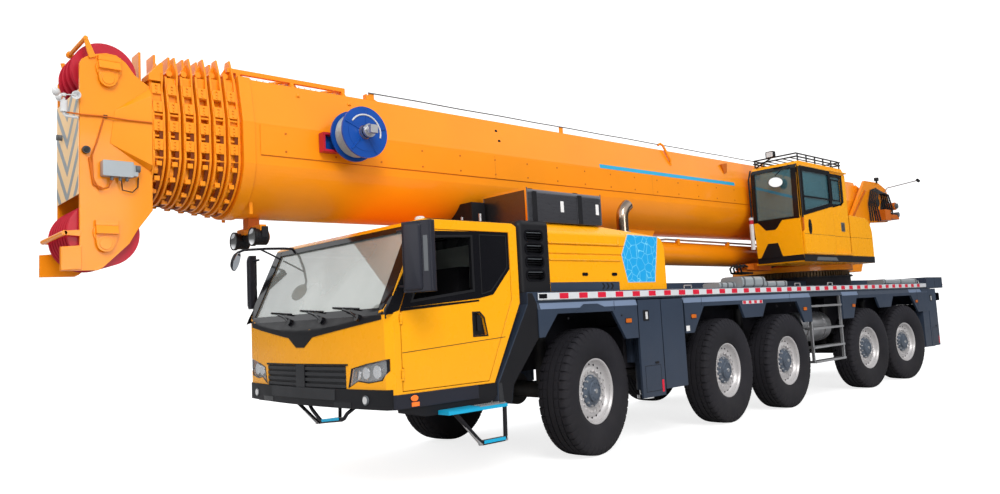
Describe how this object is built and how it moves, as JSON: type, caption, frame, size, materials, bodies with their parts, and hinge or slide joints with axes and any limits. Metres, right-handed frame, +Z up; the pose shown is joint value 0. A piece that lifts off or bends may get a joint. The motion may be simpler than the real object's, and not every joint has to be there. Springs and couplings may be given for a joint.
{
  "type": "five-axle mobile crane",
  "caption": "All-terrain mobile crane on a long carrier, with a driver's cab, an operator's cab, outriggers and a telescopic boom lying forward.",
  "frame": {"origin": "on the ground under the middle of the machine's length and width", "axes": "+X to the front of the carrier, +Y to its left, +Z up"},
  "size_m": [15.77, 3.538, 3.9492],
  "materials": {
    "yellow_paint": "gloss",
    "white_paint": "gloss",
    "grey_paint": "satin",
    "black_plastic": "matt",
    "tyre": "matt",
    "glass": "gloss",
    "steel": "satin",
    "chrome_rod": "polished",
    "cast_iron": "rough"
  },
  "bodies": {
    "chassis": {"chassis_frame": "grey_paint", "bodywork": "yellow_paint", "axles": "cast_iron", "cab_shell": "yellow_paint", "cab_glass": "glass", "cab_trim": "black_plastic", "cab_interior": "black_plastic", "engine_hood": "yellow_paint", "engine": "cast_iron", "air_intake": "yellow_paint", "tank_box": "yellow_paint", "boarding_steps": "steel", "slew_ring": "steel"},
    "knuckle_1_left": {"knuckle_1_left": "cast_iron"},
    "wheel_1_left": {"wheel_1_left": "tyre"},
    "knuckle_1_right": {"knuckle_1_right": "cast_iron"},
    "wheel_1_right": {"wheel_1_right": "tyre"},
    "knuckle_2_left": {"knuckle_2_left": "cast_iron"},
    "wheel_2_left": {"wheel_2_left": "tyre"},
    "knuckle_2_right": {"knuckle_2_right": "cast_iron"},
    "wheel_2_right": {"wheel_2_right": "tyre"},
    "knuckle_3_left": {"knuckle_3_left": "cast_iron"},
    "wheel_3_left": {"wheel_3_left": "tyre"},
    "knuckle_3_right": {"knuckle_3_right": "cast_iron"},
    "wheel_3_right": {"wheel_3_right": "tyre"},
    "knuckle_4_left": {"knuckle_4_left": "cast_iron"},
    "wheel_4_left": {"wheel_4_left": "tyre"},
    "knuckle_4_right": {"knuckle_4_right": "cast_iron"},
    "wheel_4_right": {"wheel_4_right": "tyre"},
    "knuckle_5_left": {"knuckle_5_left": "cast_iron"},
    "wheel_5_left": {"wheel_5_left": "tyre"},
    "knuckle_5_right": {"knuckle_5_right": "cast_iron"},
    "wheel_5_right": {"wheel_5_right": "tyre"},
    "cab_door_left": {"cab_door_left": "yellow_paint"},
    "cab_door_right": {"cab_door_right": "yellow_paint"},
    "outrigger_beam_front_left": {"outrigger_beam_front_left": "yellow_paint"},
    "outrigger_jack_front_left": {"outrigger_jack_front_left": "steel"},
    "outrigger_beam_front_right": {"outrigger_beam_front_right": "yellow_paint"},
    "outrigger_jack_front_right": {"outrigger_jack_front_right": "steel"},
    "outrigger_beam_rear_left": {"outrigger_beam_rear_left": "yellow_paint"},
    "outrigger_jack_rear_left": {"outrigger_jack_rear_left": "steel"},
    "outrigger_beam_rear_right": {"outrigger_beam_rear_right": "yellow_paint"},
    "outrigger_jack_rear_right": {"outrigger_jack_rear_right": "steel"},
    "superstructure": {"turntable": "yellow_paint", "operator_cab": "yellow_paint", "operator_glass": "glass"},
    "operator_door": {"operator_door": "yellow_paint"},
    "winch_drum": {"winch_drum": "cast_iron"},
    "boom_base": {"boom_base": "yellow_paint", "boom_fittings": "black_plastic"},
    "luff_barrel": {"luff_barrel": "yellow_paint"},
    "luff_rod": {"luff_rod": "chrome_rod"},
    "boom_section_2": {"boom_section_2": "yellow_paint"},
    "boom_section_3": {"boom_section_3": "yellow_paint"},
    "boom_section_4": {"boom_section_4": "yellow_paint"},
    "boom_section_5": {"boom_section_5": "yellow_paint"},
    "boom_section_6": {"boom_section_6": "yellow_paint"},
    "boom_section_7": {"boom_section_7": "yellow_paint"},
    "sheaves_upper": {"sheaves_upper": "black_plastic"},
    "sheaves_lower": {"sheaves_lower": "black_plastic"}
  },
  "joints": [
    {"name": "steer_1_left", "type": "hinge", "parent": "chassis", "child": "knuckle_1_left", "pos_m": [3.065, 0.93, 0.68], "axis": [0, 0, 1], "range_deg": [-44.52, 25.48]},
    {"name": "roll_1_left", "type": "hinge", "parent": "knuckle_1_left", "child": "wheel_1_left", "pos_m": [3.02283, 1.18149, 0.68], "axis": [-0.1654, 0.9862, 0], "continuous": true},
    {"name": "steer_1_right", "type": "hinge", "parent": "chassis", "child": "knuckle_1_right", "pos_m": [3.065, -0.93, 0.68], "axis": [0, 0, 1], "range_deg": [-44.57, 25.53]},
    {"name": "roll_1_right", "type": "hinge", "parent": "knuckle_1_right", "child": "wheel_1_right", "pos_m": [3.10717, -1.18149, 0.68], "axis": [-0.1654, 0.9862, 0], "continuous": true},
    {"name": "steer_2_left", "type": "hinge", "parent": "chassis", "child": "knuckle_2_left", "pos_m": [0.395, 0.93, 0.68], "axis": [0, 0, 1], "range_deg": [-21.09, 12.09]},
    {"name": "roll_2_left", "type": "hinge", "parent": "knuckle_2_left", "child": "wheel_2_left", "pos_m": [0.375, 1.18422, 0.68], "axis": [-0.0784, 0.9969, 0], "continuous": true},
    {"name": "steer_2_right", "type": "hinge", "parent": "chassis", "child": "knuckle_2_right", "pos_m": [0.395, -0.93, 0.68], "axis": [0, 0, 1], "range_deg": [-21.09, 12.09]},
    {"name": "roll_2_right", "type": "hinge", "parent": "knuckle_2_right", "child": "wheel_2_right", "pos_m": [0.415, -1.18422, 0.68], "axis": [-0.0784, 0.9969, 0], "continuous": true},
    {"name": "steer_3_left", "type": "hinge", "parent": "chassis", "child": "knuckle_3_left", "pos_m": [-1.255, 0.93, 0.68], "axis": [0, 0, 1], "range_deg": [-6.39, 3.68]},
    {"name": "roll_3_left", "type": "hinge", "parent": "knuckle_3_left", "child": "wheel_3_left", "pos_m": [-1.26103, 1.18493, 0.68], "axis": [-0.0237, 0.9997, 0], "continuous": true},
    {"name": "steer_3_right", "type": "hinge", "parent": "chassis", "child": "knuckle_3_right", "pos_m": [-1.255, -0.93, 0.68], "axis": [0, 0, 1], "range_deg": [-6.39, 3.68]},
    {"name": "roll_3_right", "type": "hinge", "parent": "knuckle_3_right", "child": "wheel_3_right", "pos_m": [-1.24897, -1.18493, 0.68], "axis": [-0.0237, 0.9997, 0], "continuous": true},
    {"name": "steer_4_left", "type": "hinge", "parent": "chassis", "child": "knuckle_4_left", "pos_m": [-4.135, 0.93, 0.68], "axis": [0, 0, 1], "range_deg": [-11.13, 19.4]},
    {"name": "roll_4_left", "type": "hinge", "parent": "knuckle_4_left", "child": "wheel_4_left", "pos_m": [-4.1166, 1.18434, 0.68], "axis": [0.0721, 0.9974, 0], "continuous": true},
    {"name": "steer_4_right", "type": "hinge", "parent": "chassis", "child": "knuckle_4_right", "pos_m": [-4.135, -0.93, 0.68], "axis": [0, 0, 1], "range_deg": [-11.13, 19.4]},
    {"name": "roll_4_right", "type": "hinge", "parent": "knuckle_4_right", "child": "wheel_4_right", "pos_m": [-4.1534, -1.18434, 0.68], "axis": [0.0721, 0.9974, 0], "continuous": true},
    {"name": "steer_5_left", "type": "hinge", "parent": "chassis", "child": "knuckle_5_left", "pos_m": [-5.805, 0.93, 0.68], "axis": [0, 0, 1], "range_deg": [-19.58, 34.17]},
    {"name": "roll_5_left", "type": "hinge", "parent": "knuckle_5_left", "child": "wheel_5_left", "pos_m": [-5.77262, 1.18294, 0.68], "axis": [0.127, 0.9919, 0], "continuous": true},
    {"name": "steer_5_right", "type": "hinge", "parent": "chassis", "child": "knuckle_5_right", "pos_m": [-5.805, -0.93, 0.68], "axis": [0, 0, 1], "range_deg": [-19.58, 34.17]},
    {"name": "roll_5_right", "type": "hinge", "parent": "knuckle_5_right", "child": "wheel_5_right", "pos_m": [-5.83738, -1.18294, 0.68], "axis": [0.127, 0.9919, 0], "continuous": true},
    {"name": "cab_door_left", "type": "hinge", "parent": "chassis", "child": "cab_door_left", "pos_m": [5.534, 1.365, 1.6], "axis": [0, 0, -1], "range_deg": [0, 60]},
    {"name": "cab_door_right", "type": "hinge", "parent": "chassis", "child": "cab_door_right", "pos_m": [5.534, -1.365, 1.6], "axis": [0, 0, 1], "range_deg": [0, 60]},
    {"name": "reach_front_left", "type": "slide", "parent": "chassis", "child": "outrigger_beam_front_left", "axis": [0, 1, 0], "range_m": [0, 2]},
    {"name": "jack_front_left", "type": "slide", "parent": "outrigger_beam_front_left", "child": "outrigger_jack_front_left", "axis": [0, 0, -1], "range_m": [0, 0.5]},
    {"name": "reach_front_right", "type": "slide", "parent": "chassis", "child": "outrigger_beam_front_right", "axis": [0, -1, 0], "range_m": [0, 2]},
    {"name": "jack_front_right", "type": "slide", "parent": "outrigger_beam_front_right", "child": "outrigger_jack_front_right", "axis": [0, 0, -1], "range_m": [0, 0.5]},
    {"name": "reach_rear_left", "type": "slide", "parent": "chassis", "child": "outrigger_beam_rear_left", "axis": [0, 1, 0], "range_m": [0, 2]},
    {"name": "jack_rear_left", "type": "slide", "parent": "outrigger_beam_rear_left", "child": "outrigger_jack_rear_left", "axis": [0, 0, -1], "range_m": [0, 0.5]},
    {"name": "reach_rear_right", "type": "slide", "parent": "chassis", "child": "outrigger_beam_rear_right", "axis": [0, -1, 0], "range_m": [0, 2]},
    {"name": "jack_rear_right", "type": "slide", "parent": "outrigger_beam_rear_right", "child": "outrigger_jack_rear_right", "axis": [0, 0, -1], "range_m": [0, 0.5]},
    {"name": "slew", "type": "hinge", "parent": "chassis", "child": "superstructure", "pos_m": [-4.195, 0, 2.043], "axis": [0, 0, 1], "continuous": true},
    {"name": "operator_door", "type": "slide", "parent": "superstructure", "child": "operator_door", "axis": [-1, 0, 0], "range_m": [0, 0.62]},
    {"name": "winch", "type": "hinge", "parent": "superstructure", "child": "winch_drum", "pos_m": [-7.35, 0, 3.33], "axis": [0, 1, 0], "continuous": true},
    {"name": "boom_luff", "type": "hinge", "parent": "superstructure", "child": "boom_base", "pos_m": [-6.885, 0, 3.46], "axis": [0, -1, 0], "range_deg": [0, 80]},
    {"name": "luff_barrel", "type": "hinge", "parent": "superstructure", "child": "luff_barrel", "pos_m": [-4.25, 0, 2.33], "axis": [0, -1, 0], "range_deg": [0, 91.6]},
    {"name": "luff_rod", "type": "slide", "parent": "luff_barrel", "child": "luff_rod", "axis": [1, 0, 0.0062], "range_m": [0, 3.47]},
    {"name": "telescope_2", "type": "slide", "parent": "boom_base", "child": "boom_section_2", "axis": [1, 0, -0.0079], "range_m": [0, 10.1]},
    {"name": "telescope_3", "type": "slide", "parent": "boom_section_2", "child": "boom_section_3", "axis": [1, 0, -0.0079], "range_m": [0, 10.11]},
    {"name": "telescope_4", "type": "slide", "parent": "boom_section_3", "child": "boom_section_4", "axis": [1, 0, -0.0079], "range_m": [0, 10.11]},
    {"name": "telescope_5", "type": "slide", "parent": "boom_section_4", "child": "boom_section_5", "axis": [1, 0, -0.0079], "range_m": [0, 10.11]},
    {"name": "telescope_6", "type": "slide", "parent": "boom_section_5", "child": "boom_section_6", "axis": [1, 0, -0.0079], "range_m": [0, 10.11]},
    {"name": "telescope_7", "type": "slide", "parent": "boom_section_6", "child": "boom_section_7", "axis": [1, 0, -0.0079], "range_m": [0, 10.11]},
    {"name": "sheaves_upper", "type": "hinge", "parent": "boom_section_7", "child": "sheaves_upper", "pos_m": [7.548, 0, 3.665], "axis": [0, 1, 0], "continuous": true},
    {"name": "sheaves_lower", "type": "hinge", "parent": "boom_section_7", "child": "sheaves_lower", "pos_m": [7.57, 0, 2.345], "axis": [0, 1, 0], "continuous": true}
  ],
  "couplings": [
    {"joint": "steer_1_right", "follows": "steer_1_left", "ratio": 1},
    {"joint": "steer_2_left", "follows": "steer_1_left", "ratio": 0.47258},
    {"joint": "steer_2_right", "follows": "steer_1_left", "ratio": 0.47258},
    {"joint": "steer_3_left", "follows": "steer_1_left", "ratio": 0.14244},
    {"joint": "steer_3_right", "follows": "steer_1_left", "ratio": 0.14244},
    {"joint": "steer_4_left", "follows": "steer_1_left", "ratio": -0.43467},
    {"joint": "steer_4_right", "follows": "steer_1_left", "ratio": -0.43467},
    {"joint": "steer_5_left", "follows": "steer_1_left", "ratio": -0.76635},
    {"joint": "steer_5_right", "follows": "steer_1_left", "ratio": -0.76635},
    {"joint": "luff_barrel", "follows": "boom_luff", "ratio": 1.142},
    {"joint": "luff_rod", "follows": "boom_luff", "m_per_rad": 2.4806},
    {"joint": "telescope_3", "follows": "telescope_2", "ratio": 1},
    {"joint": "telescope_4", "follows": "telescope_2", "ratio": 1},
    {"joint": "telescope_5", "follows": "telescope_2", "ratio": 1},
    {"joint": "telescope_6", "follows": "telescope_2", "ratio": 1},
    {"joint": "telescope_7", "follows": "telescope_2", "ratio": 1}
  ]
}
